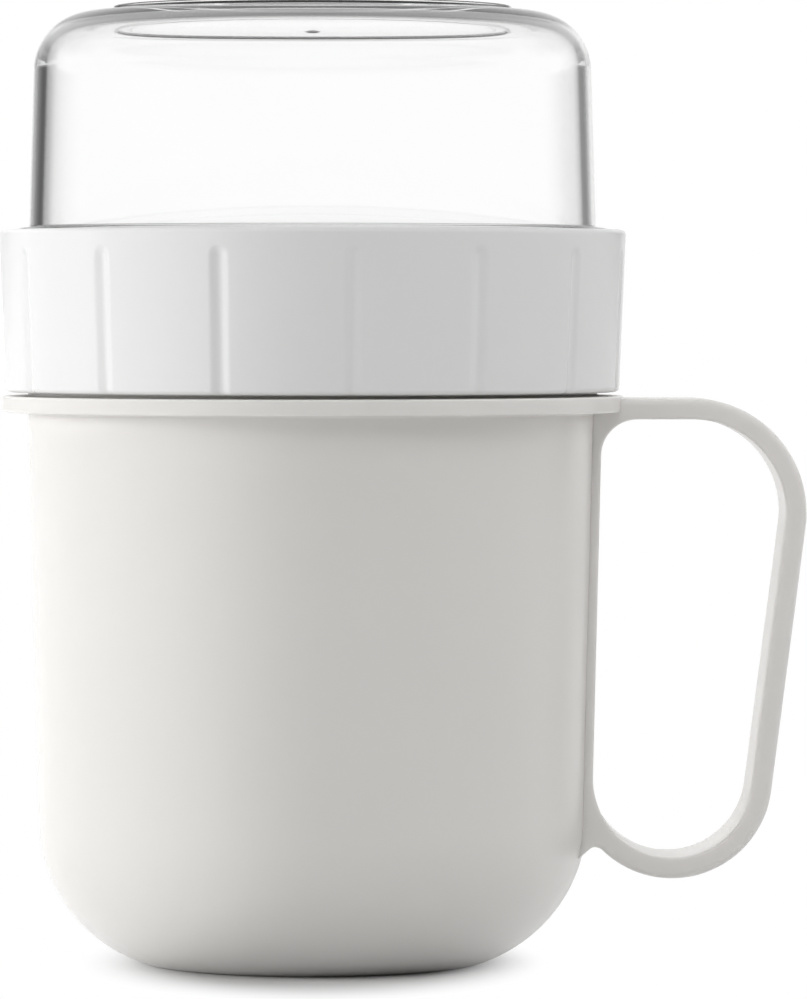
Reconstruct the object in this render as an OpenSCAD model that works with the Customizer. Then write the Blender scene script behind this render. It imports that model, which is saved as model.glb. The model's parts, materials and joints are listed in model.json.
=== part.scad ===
// Breakfast to-go cup: a handled mug, a fluted screw collar and a clear bowl carried upside down on top.
// Millimetres. The origin is the centre of the mug's foot, +Z is up and the handle points to +X.

/* [Overall] */
// Outer radius of the collar at its top, which all the other radii follow
cup_r = 50; // [46:0.5:56]

/* [Mug] */
// Height of the top of the mug's flange above the table
mug_h = 90.4; // [84:0.2:110]
// Set-in of the mug's wall at its flange, and of the neck above it, from the collar's top
mug_inset = 4.6; // [4.2:0.1:6]
// Angle by which the mug's wall draws in towards the base
mug_draft = 1.4; // [0.6:0.1:2]
// Thickness of the mug's wall
mug_wall = 2.2; // [1.8:0.1:2.8]
// Thickness of the mug's floor above the table
mug_floor = 2.8; // [2.2:0.1:4]
// Radius of the round corner between the mug's wall and its base
corner_r = 24; // [20:0.5:25]
// Depth by which the table plane cuts the round corner, which leaves the flat foot
corner_cut = 1.2; // [0.6:0.1:2]
// Width of the flat foot round the recess under the mug
foot_w = 6.3; // [3:0.1:12]
// Depth of the recess under the foot
recess_depth = 0.8; // [0.4:0.1:1.2]
// Set-in of the mug's flange from the collar's top
mug_flange_inset = 0.4; // [0:0.1:1.4]
// Thickness of the mug's flange
mug_flange_t = 2.6; // [2:0.1:3.4]
// Height of the neck above the flange
neck_h = 11.4; // [10:0.2:13]
// Rounding of the flange's and the neck's outer edges
mug_edge_r = 0.4; // [0.3:0.1:0.9]

/* [Handle] */
// Distance by which the handle stands out past the collar
handle_out = 28.4; // [25:0.1:36]
// Width of the handle's strap, front to back
handle_w = 18; // [12:0.5:22]
// Thickness of the handle's strap
strap_t = 3.3; // [2.8:0.1:4]
// Rounding along the strap's long edges
strap_edge_r = 0.5; // [0.3:0.1:1.2]
// Drop from the flange's top to the handle's top
handle_drop = 0.4; // [0.3:0.1:1.4]
// Height of the handle's lowest point above the table
handle_low = 13.7; // [12:0.1:18]
// Inside radius of the bend at the top of the handle
upper_bend_r = 14.9; // [11:0.1:17]
// Inside radius of the round lower end of the handle
lower_bend_r = 12.6; // [10:0.1:13]
// Inside radius where the top of the handle meets the mug
root_r = 5.8; // [4:0.1:9]
// Distance by which the handle's inner limb stands out from the mug's wall
limb_proud = 0.5; // [0.4:0.1:1.2]
// Radius of the notch under the lower end of the handle
notch_r = 1.7; // [1.4:0.1:3]

/* [Collar] */
// Gap between the mug's flange and the collar's lower edge
collar_gap = 0.6; // [0.4:0.1:1.2]
// Height of the collar
collar_h = 25.8; // [25:0.1:30]
// Amount by which the collar's radius narrows towards its lower edge
collar_taper = 1.1; // [0.2:0.1:1.3]
// Rounding of the collar's two outer edges
collar_edge_r = 0.8; // [0.4:0.1:1]
// Thickness of the partition across the collar
web_t = 2.2; // [1.6:0.1:2.6]
// Height of the plug rib under the partition
plug_h = 3; // [2:0.2:5]
// Thickness of the plug rib
plug_t = 1.6; // [1.2:0.1:2.4]
// Clearance between the plug rib and the mug's inside wall
plug_gap = 0.6; // [0.5:0.1:1.2]
// Radial room for the screw threads between a neck or spigot and the collar
thread_room = 1.2; // [0.9:0.05:1.25]

/* [Grip flutes] */
// Number of flutes round the collar
flute_n = 15; // [9:1:24]
// Width of a flute
flute_w = 2.2; // [1.4:0.1:3]
// Depth of a flute
flute_depth = 0.45; // [0.3:0.05:0.6]
// Distance from the collar's top to the upper end of a flute
flute_top = 2.9; // [2:0.1:6]
// Turn of the first flute from the middle of the front
flute_turn = 7.2; // [0:0.2:24]

/* [Clear bowl] */
// Height of the bowl above its flange, up to the top of the foot ring
bowl_h = 35.3; // [30:0.1:60]
// Set-in of the bowl's wall at its flange, and of the spigot below it, from the collar's top
bowl_inset = 4.8; // [4.6:0.1:6]
// Angle by which the bowl's wall draws in towards its foot
bowl_draft = 1.75; // [0.8:0.05:3]
// Thickness of the bowl's wall
bowl_wall = 2; // [1.4:0.1:2.4]
// Outer radius of the bowl's round shoulder
shoulder_r = 9.5; // [8:0.5:10.5]
// Inner radius of the same shoulder
hollow_r = 7; // [6.5:0.5:8]
// Set-in of the foot ring from the start of the shoulder
foot_ring_inset = 3.2; // [1.5:0.1:8]
// Width of the foot ring
foot_ring_w = 2.4; // [1.6:0.1:3]
// Height of the foot ring above the shoulder
foot_ring_h = 0.9; // [0.4:0.1:1.2]
// Depth of the recess inside the foot ring
foot_recess = 0.3; // [0.2:0.1:0.6]
// Set-in of the step in the bowl's ceiling from the outside of the foot ring
foot_step_inset = 0.5; // [0.3:0.1:2]
// Set-in of the bowl's flange from the collar's top
bowl_flange_inset = 2.9; // [2.7:0.1:3.1]
// Thickness of the bowl's flange
bowl_flange_t = 1.5; // [1.2:0.1:2]
// Height by which the bowl's flange stands above the collar
bowl_flange_proud = 0.3; // [0.2:0.1:0.9]
// Length of the spigot below the flange
spigot_h = 9; // [6:0.1:9]
// Radius of the gate mark in the middle of the bowl, under its foot
gate_r = 1.4; // [0.8:0.1:2.5]
// Length by which the gate mark hangs down
gate_h = 0.5; // [0.2:0.1:0.8]

/* [Seals] */
// Thickness of the seal on the mug's rim
mug_seal_t = 1.6; // [1.2:0.1:2]
// Thickness of the seal under the bowl's flange
bowl_seal_t = 1.2; // [0.8:0.1:1.6]
// Radial clearance all round a seal
seal_gap = 0.35; // [0.3:0.05:0.5]

/* [Node] */
// Piece to draw

/* [Hidden] */
$fn = 96;
// Overlap that keeps joined shapes and cuts from sharing a face
lap = 0.15;
// Depth by which a straight run of the strap is set in from the bends it joins, for the same reason
run_inset = 0.02;
// Share of the strap's thickness that the web at its top takes
top_web_share = 0.7;
// Roundings of the bowl's flange and of its foot ring
bowl_edge_r = bowl_flange_t / 3;
foot_ring_edge_r = foot_ring_h / 4;

// Heights, from the table up
flange_low_z = mug_h - mug_flange_t;
neck_z = mug_h + neck_h;
web_z = neck_z + mug_seal_t;
web_top_z = web_z + web_t;
collar_z = mug_h + collar_gap;
collar_top_z = collar_z + collar_h;
bowl_flange_z = collar_top_z + bowl_flange_proud - bowl_flange_t;
bowl_wall_z = bowl_flange_z + bowl_flange_t;
ledge_z = bowl_flange_z - bowl_seal_t;
spigot_z = bowl_flange_z - spigot_h;
bowl_top_z = bowl_wall_z + bowl_h;
shoulder_z = bowl_top_z - foot_ring_h;
foot_z = bowl_top_z - foot_recess;
hollow_top_z = shoulder_z - bowl_wall;
// The bowl's ceiling steps up under the foot, so that the wall stays as thick there as elsewhere
ceiling_z = max(foot_z - bowl_wall, hollow_top_z);

// Radii that mating pieces share
mug_r = cup_r - mug_inset;
mug_flange_r = cup_r - mug_flange_inset;
bowl_r = cup_r - bowl_inset;
bowl_flange_r = cup_r - bowl_flange_inset;
mug_bore_r = mug_r - mug_wall;
collar_bore_r = mug_r + thread_room;
plug_r = mug_bore_r - plug_gap;
spigot_bore_r = bowl_r - bowl_wall;
socket_r = bowl_r + thread_room;
rebate_gap = 0.5;
rebate_r = bowl_flange_r + rebate_gap;

// Mug wall: outer radius at height z, and the centre of the round corner
function mug_wall_r(z) = mug_r - (flange_low_z - z) * tan(mug_draft);
corner_z = corner_r - corner_cut;
corner_x = mug_wall_r(corner_z) - corner_r / cos(mug_draft);
recess_r = corner_x + sqrt(corner_r * corner_r - corner_z * corner_z) - foot_w;

// Bowl wall: outer radius at height z, and the centres of the round shoulder, outside and inside
function bowl_wall_r(z) = bowl_r - (z - bowl_wall_z) * tan(bowl_draft);
shoulder_c_z = shoulder_z - shoulder_r;
shoulder_x = bowl_wall_r(shoulder_c_z) - shoulder_r / cos(bowl_draft);
hollow_c_z = hollow_top_z - hollow_r;
hollow_x = bowl_wall_r(hollow_c_z) - (hollow_r + bowl_wall) / cos(bowl_draft);
foot_ring_r = shoulder_x - foot_ring_inset;

// Collar wall: outer radius at height z
collar_lean = atan(collar_taper / collar_h);
function collar_r(z) = cup_r - (collar_top_z - z) * tan(collar_lean);

// Handle: centres of its three bends as [x, z], and the lean of its outer limb
finger_top_z = mug_h - handle_drop - strap_t;
function limb_x(z) = mug_wall_r(z) + limb_proud;
upper_c = [cup_r + handle_out - strap_t - upper_bend_r, finger_top_z - upper_bend_r];
lower_z = handle_low + strap_t + lower_bend_r;
lower_c = [limb_x(lower_z) + lower_bend_r / cos(mug_draft), lower_z];
root_z = finger_top_z - root_r;
root_c = [limb_x(root_z) + root_r / cos(mug_draft), root_z];
bend_d = upper_c - lower_c;
bend_l = norm(bend_d);
limb_turn = atan2(bend_d[1], bend_d[0]) - acos((lower_bend_r - upper_bend_r) / bend_l);
limb_len = sqrt(bend_l * bend_l - pow(upper_bend_r - lower_bend_r, 2));
inner_turn = 180 - mug_draft;
inner_len = (root_c - lower_c) * [sin(mug_draft), cos(mug_draft)];

// Notch: centre of the circle that touches the handle's lower end and the mug's round corner,
// and the depth by which the web over it runs into both
notch_root = 2.5;
notch_a = lower_bend_r + strap_t + notch_r - lap;
notch_b = corner_r + notch_r - lap;
notch_d = lower_c - [corner_x, corner_z];
notch_l = norm(notch_d);
notch_turn = atan2(notch_d[1], notch_d[0])
    - acos((notch_b * notch_b + notch_l * notch_l - notch_a * notch_a) / (2 * notch_b * notch_l));
notch_c = [corner_x, corner_z] + notch_b * [cos(notch_turn), sin(notch_turn)];

// Half section of a ring from r0 to r1 and z0 to z1 whose two outer corners are rounded by e
module rounded_ring(r0, r1, z0, z1, e) {
    translate([r0, z0])
        square([r1 - e - r0, z1 - z0]);
    translate([r0, z0 + e])
        square([r1 - r0, z1 - z0 - 2 * e]);
    for (z = [z0 + e, z1 - e])
        translate([r1 - e, z])
            circle(e);
}

// Half section of the mug's outside: base, round corner, wall, flange and neck
module mug_outside() {
    polygon([
        [0, 0],
        [corner_x, 0],
        [corner_x + corner_r * cos(mug_draft), corner_z - corner_r * sin(mug_draft)],
        [mug_r, flange_low_z],
        [mug_r, mug_h],
        [0, mug_h]
    ]);
    intersection() {
        translate([corner_x, corner_z])
            circle(corner_r);
        square([mug_r, corner_z]);
    }
    rounded_ring(0, mug_flange_r, flange_low_z, mug_h, mug_edge_r);
    rounded_ring(0, mug_r, mug_h - mug_edge_r, neck_z, mug_edge_r);
}

// Half section of the mug's hollow: the same corner centre and draft, set in by the wall
module mug_hollow() {
    hollow_r = corner_r - mug_wall;
    polygon([
        [0, mug_floor],
        [corner_x, mug_floor],
        [corner_x + hollow_r * cos(mug_draft), corner_z - hollow_r * sin(mug_draft)],
        [mug_bore_r, flange_low_z],
        [mug_bore_r, neck_z + lap],
        [0, neck_z + lap]
    ]);
    intersection() {
        translate([corner_x, corner_z])
            circle(hollow_r);
        translate([0, mug_floor])
            square([mug_r, corner_z - mug_floor]);
    }
}

// Section of the handle's strap, set in all round, its inner face at the radius r_in of a bend
module strap_section(r_in, inset) {
    e = strap_edge_r;
    w = handle_w / 2 - inset;
    low = r_in + inset;
    high = r_in + strap_t - inset;
    translate([low + e, -w])
        square([high - low - 2 * e, 2 * w]);
    translate([low, e - w])
        square([high - low, 2 * w - 2 * e]);
    for (x = [low + e, high - e], y = [e - w, w - e])
        translate([x, y])
            circle(e);
}

// Bend of the strap round the centre c, from one direction to another
module strap_bend(c, r_in, from, to) {
    translate([c[0], c[1], 0])
        rotate([0, 0, from])
            rotate_extrude(angle = to - from)
                strap_section(r_in, 0);
}

// Straight run of the strap from the end of a bend round the centre c, along the tangent
module strap_run(c, r_in, turn, len) {
    translate([c[0], c[1], 0])
        rotate([0, 0, turn])
            translate([0, -lap, 0])
                rotate([-90, 0, 0])
                    linear_extrude(len + 2 * lap)
                        strap_section(r_in, run_inset);
}

// Web that fills the corner between the strap's lower end and the mug, hollowed by the notch
module notch_web() {
    reach = notch_r + notch_root;
    to_mug = [corner_x, corner_z] - notch_c;
    to_strap = lower_c - notch_c;
    in_mug = notch_c + reach * to_mug / norm(to_mug);
    in_strap = notch_c + reach * to_strap / norm(to_strap);
    inside = [in_mug[0], lower_z];
    linear_extrude(handle_w - 2 * (strap_edge_r + lap), center = true)
        difference() {
            polygon([in_mug, notch_c, in_strap, inside]);
            translate(notch_c)
                circle(notch_r);
        }
}

// Top of the strap carried on to the mug's wall above the root bend
module top_web() {
    thick = top_web_share * strap_t;
    low = finger_top_z + strap_t - thick;
    translate([mug_bore_r, low, 0])
        rotate([0, 90, 0])
            linear_extrude(root_c[0] - mug_bore_r) {
                translate([-handle_w / 2, 0])
                    square([handle_w, thick - strap_edge_r]);
                translate([strap_edge_r - handle_w / 2, 0])
                    square([handle_w - 2 * strap_edge_r, thick]);
                for (side = [-1, 1])
                    translate([side * (handle_w / 2 - strap_edge_r), thick - strap_edge_r])
                        circle(strap_edge_r);
            }
}

// Loop handle: a strap bent round the finger opening, drawn in X and Z and stood upright
module handle() {
    rotate([90, 0, 0]) {
        strap_bend(upper_c, upper_bend_r, limb_turn, 90);
        strap_run(lower_c, lower_bend_r, limb_turn, limb_len);
        strap_bend(lower_c, lower_bend_r, inner_turn, 360 + limb_turn);
        strap_run(root_c, root_r, inner_turn, inner_len);
        strap_bend(root_c, root_r, 90, inner_turn);
        strap_run(upper_c, upper_bend_r, 90, upper_c[0] - root_c[0]);
        top_web();
        notch_web();
    }
}

// Mug: cup, flange, neck and handle in one moulding
module mug() {
    color("whitesmoke")
        difference() {
            union() {
                rotate_extrude()
                    mug_outside();
                handle();
            }
            rotate_extrude()
                mug_hollow();
            translate([0, 0, -lap])
                cylinder(r = recess_r, h = recess_depth + lap);
        }
}

// Half section of the collar's outside, its two outer corners rounded
module collar_outside() {
    e = collar_edge_r;
    low = [collar_r(collar_z + e) - e / cos(collar_lean), collar_z + e];
    top = [collar_r(collar_top_z - e) - e / cos(collar_lean), collar_top_z - e];
    side = e * [cos(collar_lean), -sin(collar_lean)];
    polygon([
        [0, collar_z],
        [low[0], collar_z],
        low + side,
        top + side,
        [top[0], collar_top_z],
        [0, collar_top_z]
    ]);
    for (c = [low, top])
        translate(c)
            circle(e);
}

// Half section of the spaces inside the collar: the mug's socket below, the bowl's socket and rebate above
module collar_hollow() {
    difference() {
        translate([0, collar_z - lap])
            square([collar_bore_r, web_z - collar_z + lap]);
        translate([plug_r - plug_t, web_z - plug_h])
            square([plug_t, plug_h + lap]);
    }
    translate([0, web_top_z])
        square([socket_r, collar_top_z - web_top_z + lap]);
    translate([0, ledge_z])
        square([rebate_r, collar_top_z - ledge_z + lap]);
}

// Round-ended cutter for one flute, its axis along the collar's leaning side
module flute_cutter() {
    cut_r = (flute_w * flute_w / 4 + flute_depth * flute_depth) / (2 * flute_depth);
    end_z = collar_top_z - flute_top - flute_w / 2;
    run = end_z - collar_z + cut_r;
    translate([collar_r(end_z) + (cut_r - flute_depth) / cos(collar_lean), 0, end_z])
        rotate([0, collar_lean, 0])
            rotate_extrude() {
                translate([0, -run])
                    square([cut_r, run]);
                intersection() {
                    circle(cut_r);
                    square(cut_r);
                }
            }
}

// Screw collar: fluted ring with a partition and a plug rib
module screw_collar() {
    color("white")
        difference() {
            rotate_extrude()
                difference() {
                    collar_outside();
                    collar_hollow();
                }
            for (i = [0 : flute_n - 1])
                rotate([0, 0, flute_turn - 90 + i * 360 / flute_n])
                    flute_cutter();
        }
}

// Half section of the bowl's outside: spigot, flange, wall, shoulder and foot ring
module bowl_outside() {
    translate([0, spigot_z])
        square([bowl_r, bowl_wall_z - spigot_z]);
    rounded_ring(0, bowl_flange_r, bowl_flange_z, bowl_wall_z, bowl_edge_r);
    polygon([
        [0, bowl_wall_z],
        [bowl_r, bowl_wall_z],
        [shoulder_x + shoulder_r * cos(bowl_draft), shoulder_c_z + shoulder_r * sin(bowl_draft)],
        [shoulder_x, shoulder_z],
        [0, shoulder_z]
    ]);
    translate([shoulder_x, shoulder_c_z])
        intersection() {
            circle(shoulder_r);
            square([shoulder_r, shoulder_r]);
        }
    rounded_ring(0, foot_ring_r, shoulder_z - foot_ring_h, bowl_top_z, foot_ring_edge_r);
}

// Half section of the bowl's hollow, with a step up inside the foot ring, and of the recess over it
module bowl_hollow() {
    translate([0, spigot_z - lap])
        square([spigot_bore_r, bowl_wall_z - spigot_z + lap]);
    polygon([
        [0, bowl_wall_z],
        [spigot_bore_r, bowl_wall_z],
        [hollow_x + hollow_r * cos(bowl_draft), hollow_c_z + hollow_r * sin(bowl_draft)],
        [hollow_x, hollow_top_z],
        [0, hollow_top_z]
    ]);
    translate([hollow_x, hollow_c_z])
        intersection() {
            circle(hollow_r);
            square([hollow_r, hollow_r]);
        }
    translate([0, bowl_wall_z])
        square([foot_ring_r - foot_step_inset, ceiling_z - bowl_wall_z]);
    translate([0, foot_z])
        square([foot_ring_r - foot_ring_w, foot_recess + lap]);
}

// Clear bowl: the dome of the cup, with a tapered gate mark in the middle of its ceiling
module clear_bowl() {
    color("lightcyan") {
        rotate_extrude()
            difference() {
                bowl_outside();
                bowl_hollow();
            }
        translate([0, 0, ceiling_z - gate_h])
            cylinder(r1 = gate_r / 2, r2 = gate_r, h = gate_h + lap);
    }
}

// Mug seal: flat ring on the mug's rim, round the collar's plug rib
module mug_seal() {
    color("silver")
        translate([0, 0, neck_z])
            difference() {
                cylinder(r = collar_bore_r - seal_gap, h = mug_seal_t);
                translate([0, 0, -lap])
                    cylinder(r = plug_r + seal_gap, h = mug_seal_t + 2 * lap);
            }
}

// Bowl seal: flat ring on the collar's ledge, round the bowl's spigot
module bowl_seal() {
    color("silver")
        translate([0, 0, ledge_z])
            difference() {
                cylinder(r = rebate_r - seal_gap, h = bowl_seal_t);
                translate([0, 0, -lap])
                    cylinder(r = bowl_r + seal_gap, h = bowl_seal_t + 2 * lap);
            }
}

mug();
screw_collar();
clear_bowl();
mug_seal();
bowl_seal();
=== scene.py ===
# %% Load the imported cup
import json
import math

import bpy
import numpy as np
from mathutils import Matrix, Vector


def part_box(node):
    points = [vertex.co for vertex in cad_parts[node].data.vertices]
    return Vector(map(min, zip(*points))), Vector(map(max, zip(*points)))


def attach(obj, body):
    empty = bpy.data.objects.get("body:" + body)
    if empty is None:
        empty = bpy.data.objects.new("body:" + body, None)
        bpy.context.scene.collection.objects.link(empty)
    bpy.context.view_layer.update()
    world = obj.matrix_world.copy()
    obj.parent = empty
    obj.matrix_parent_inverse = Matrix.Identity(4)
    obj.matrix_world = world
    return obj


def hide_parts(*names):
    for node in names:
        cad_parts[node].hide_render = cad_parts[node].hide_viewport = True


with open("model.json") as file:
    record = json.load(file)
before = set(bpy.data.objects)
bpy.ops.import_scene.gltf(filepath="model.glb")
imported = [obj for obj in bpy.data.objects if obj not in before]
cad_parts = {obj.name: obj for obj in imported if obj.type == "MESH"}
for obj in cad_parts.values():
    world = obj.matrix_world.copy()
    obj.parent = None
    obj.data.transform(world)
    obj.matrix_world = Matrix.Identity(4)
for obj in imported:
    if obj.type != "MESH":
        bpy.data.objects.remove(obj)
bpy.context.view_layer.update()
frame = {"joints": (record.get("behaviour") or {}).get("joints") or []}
MM = 0.001

# %% [markdown]
# # A breakfast to-go cup
# The cup is a stack of moulded plastic pieces: a mug with a loop handle, a fluted collar that screws down
# on the mug's neck, and a clear bowl that screws upside down into the collar as a dome. Two silicone
# rings seal the screw joints. The CAD model already says where each piece sits and how it turns. Here
# each piece gets the finer shape that a mould gives it: rounded edges, screw threads, soft flutes.

# %% [markdown]
# ## Heights from the CAD model
# The pieces stand on each other, so where one ends the next begins. Those heights could be typed in
# again, but then the picture and the CAD model might drift apart. They are read from the boxes of the CAD
# nodes instead. The sizes that a box doesn't show, such as a wall or a draft, are given with each piece.

# %% Helper that reads two heights


def heights(node_name):
    """Lowest and highest point of a CAD node at rest: the z of its box's corners in mm, to a hundredth."""
    return [round(corner[2] / MM, 2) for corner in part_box(node_name)]


for node_name in ("mug", "mug_seal", "screw_collar", "bowl_seal", "clear_bowl"):
    print(node_name, "stands between", heights(node_name), "mm")

# %% [markdown]
# ## Profiles
# Nearly everything on the cup is round, so a piece is a half section in radius and height, turned about
# the axis. Moulded plastic has no truly sharp edges. A half section is therefore written as a list of
# corners, each with its own small rounding, which is quicker to read and change than a list of arcs and
# lines. Smooth shading blends the directions of the faces that meet at a point. A point held close to
# each end of a straight run keeps that blend in the rounding, so that flat walls stay flat to the eye.

# %% Helpers that draw a half section
# Distance of a held point from the end of its run, and the largest share of a step that it may take.
HOLD, HOLD_SHARE = 0.05, 0.4


def arc(centre, radius, start, end, count):
    """Points on a circle: the centre plus the radius times (cos, sin) of evenly spaced angles in degrees."""
    turn = np.radians(np.linspace(start, end, count))
    return np.column_stack([centre[0] + radius * np.cos(turn), centre[1] + radius * np.sin(turn)])


def moulded(corners, arc_steps=5):
    """Half section through corners (radius, height, rounding, steps), all in millimetres.

    A corner with a rounding is swapped for the arc of that radius that touches the runs on both sides.
    The arc's points are its centre plus the radius times a direction swept evenly between those runs.
    steps is the number of equal pieces in the straight run that leads up to the corner. A run gets its two
    held points where they take up less than a set share of a step.
    """
    points = np.array([corner[:2] for corner in corners], float)
    rows = [points[:1]]
    for i in range(1, len(points)):
        here, rounding, steps = points[i], corners[i][2], corners[i][3]
        bend = here[None]
        if rounding:
            back = (points[i - 1] - here) / np.linalg.norm(points[i - 1] - here)
            onward = (points[i + 1] - here) / np.linalg.norm(points[i + 1] - here)
            half = math.acos(np.clip(back @ onward, -1, 1)) / 2
            middle = (back + onward) / np.linalg.norm(back + onward)
            centre = here + middle * rounding / math.sin(half)
            first = here + back * rounding / math.tan(half) - centre
            last = here + onward * rounding / math.tan(half) - centre
            sweep = math.pi - 2 * half
            t = np.linspace(0, 1, arc_steps + 1)[:, None]
            bend = centre + (np.sin((1 - t) * sweep) * first + np.sin(t * sweep) * last) / math.sin(sweep)
        run = bend[0] - rows[-1][-1]
        share = np.linspace(0, 1, steps + 1)
        hold = HOLD / max(np.linalg.norm(run), HOLD)
        if hold < HOLD_SHARE / steps:
            share = np.sort(np.append(share, [hold, 1 - hold]))
        rows.append(np.vstack([rows[-1][-1] + share[1:, None] * run, bend[1:]]))
    return np.vstack(rows)


print("A corner rounded by 1 mm:", moulded([(0, 0, 0, 1), (5, 0, 1, 1), (5, 5, 0, 1)], 2).round(2).tolist())

# %% [markdown]
# ## From a grid of points to a mesh
# A surface that is worked out on a grid of rows and columns becomes a mesh by joining each point to its
# neighbours. The columns always close on themselves. The rows either close too, as on a ring, or run from
# one point on the axis to another, where the last ring of points is joined to a single point so that no
# hole is left. A face keeps its corners in the order that makes it look outwards.

# %% Helpers that turn a half section and skin a grid
# Degrees between two faces from which the edge between them stays sharp.
SHARP_EDGE = 40


def turned(section, angles, relief=0.0):
    """Surface of revolution: x = (r + relief) cos a, y = (r + relief) sin a, with z as in the half section.

    relief is how far the surface is raised, as one number or as an array of [row, column].
    """
    radius = section[:, :1] + relief + np.zeros_like(angles)
    height = section[:, 1:] + np.zeros_like(angles)
    return np.stack([radius * np.cos(angles), radius * np.sin(angles), height], axis=-1)


def skin(name, grid, ring=False):
    """Mesh object over a grid of points in millimetres, [row, column, xyz], with faces that look outwards.

    On a ring the rows close on themselves. Otherwise the first and the last row are points on the axis.
    """
    rows, columns = grid.shape[:2]
    if ring:
        points = grid.reshape(-1, 3)
        index = np.arange(rows * columns).reshape(rows, columns)
        index = np.vstack([index, index[:1]])
        ends = []
    else:
        points = np.vstack([grid[0, :1], grid[1:-1].reshape(-1, 3), grid[-1, :1]])
        index = 1 + np.arange((rows - 2) * columns).reshape(rows - 2, columns)
        low, high = index[0], index[-1]
        ends = [
            np.stack([np.zeros_like(low), np.roll(low, -1), low], axis=-1),
            np.stack([high, np.roll(high, -1), np.full_like(high, len(points) - 1)], axis=-1),
        ]
    beside = np.roll(index, -1, axis=1)
    quads = np.stack([index[:-1], beside[:-1], beside[1:], index[1:]], axis=-1).reshape(-1, 4)
    mesh = bpy.data.meshes.new(name)
    mesh.from_pydata(points * MM, [], quads.tolist() + [face for fan in ends for face in fan.tolist()])
    mesh.shade_smooth()
    mesh.set_sharp_from_angle(angle=math.radians(SHARP_EDGE))
    piece = bpy.data.objects.new(name, mesh)
    bpy.context.scene.collection.objects.link(piece)
    print(f"{name}: {len(points)} points, {len(mesh.polygons)} faces")
    return piece


# %% [markdown]
# ## Screw threads
# The neck of the mug and the spigot of the bowl carry two threads that start opposite each other, so that
# the pieces seat in a turn and a half or less. The lead, the rise in one turn, follows from the two
# joints of the CAD model that turn and lift the collar. A thread could be swept as a separate ridge, but
# then it would only be stuck on. Here it is part of the wall: the surface is simply raised where a point
# is close to the helix.

# %% Relief of a screw thread
joints = {joint["name"]: joint for joint in frame["joints"]}
full_rise = joints["collar_rise"]["range_m"][1] / MM
full_turns = joints["collar_turn"]["range_deg"][1] / 360
LEAD = round(full_rise / full_turns, 3)
STARTS = 2
# Half width of a ridge at its root, width of its sloping side, and height over which its ends run out.
RIDGE_HALF, FLANK, RUN_OUT = 0.9, 0.6, 0.8
print("lead of the threads:", LEAD, "mm")


def thread(section, angles, low, high, tall, half_turn=0.0):
    """Height of a thread over a wall of rows and columns, in millimetres.

    The helix rises by the lead in one turn. The distance along the axis from the nearest start of it gives
    a ridge with sloping sides, 1.8 mm wide at its root and 0.6 mm at its crest. The ridge runs out smoothly
    at low and high.
    """
    z = section[:, 1:]
    turns = (z / LEAD - angles / (2 * np.pi)) * STARTS + half_turn
    along = np.abs(turns - np.round(turns)) * LEAD / STARTS
    ridge = np.clip((RIDGE_HALF - along) / FLANK, 0, 1)
    fade = np.clip((z - low) / RUN_OUT, 0, 1) * np.clip((high - z) / RUN_OUT, 0, 1)
    return tall * ridge * fade * fade * (3 - 2 * fade)


# %% [markdown]
# ## The mug
# The mug is one moulding in matt polypropylene: a cup with a wide round corner at its base, a flange for
# the collar to close on, and a threaded neck above the flange. It is a turned shape, so one half section
# from the middle of the underside, up the outside, over the rim and down to the middle of the floor makes
# a closed solid wall. The underside has a shallow recess with the mark of the gate, where the plastic ran
# into the mould.

# %% Sizes of the mug
NECK_TOP = heights("mug")[1]
MUG_R, MUG_DRAFT, MUG_WALL = 45.4, 1.4, 2.2
FLANGE_R, FLANGE_LOW, FLANGE_TOP = 49.6, 87.8, 90.4
CORNER_R, CORNER_Z, MUG_FLOOR = 24.0, 22.8, 2.8
# Height at which the round corner has turned into the straight wall.
WALL_LOW = 22.22
FOOT_W, RECESS_Z, GATE_R, GATE_Z = 6.3, 0.8, 1.5, 0.45
NECK_THREAD = {"low": 92.0, "high": 100.6, "tall": 0.8}


def mug_wall(z):
    """Outer radius of the mug's wall at height z: the radius at the flange less the draft."""
    return MUG_R - (FLANGE_LOW - z) * math.tan(math.radians(MUG_DRAFT))


CORNER_X = mug_wall(CORNER_Z) - CORNER_R / math.cos(math.radians(MUG_DRAFT))
foot_turn = -math.degrees(math.asin(CORNER_Z / CORNER_R))
foot_r = CORNER_X + CORNER_R * math.cos(math.radians(foot_turn))
floor_turn = -math.degrees(math.asin((CORNER_Z - MUG_FLOOR) / (CORNER_R - MUG_WALL)))
bore_r = MUG_R - MUG_WALL
recess_r = foot_r - FOOT_W
print("mug's foot:", round(foot_r, 2), "mm in radius, recess:", round(recess_r, 2), "mm")

# %% Cup of the mug
ROUND = np.linspace(0, 2 * np.pi, 288, endpoint=False)
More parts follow.
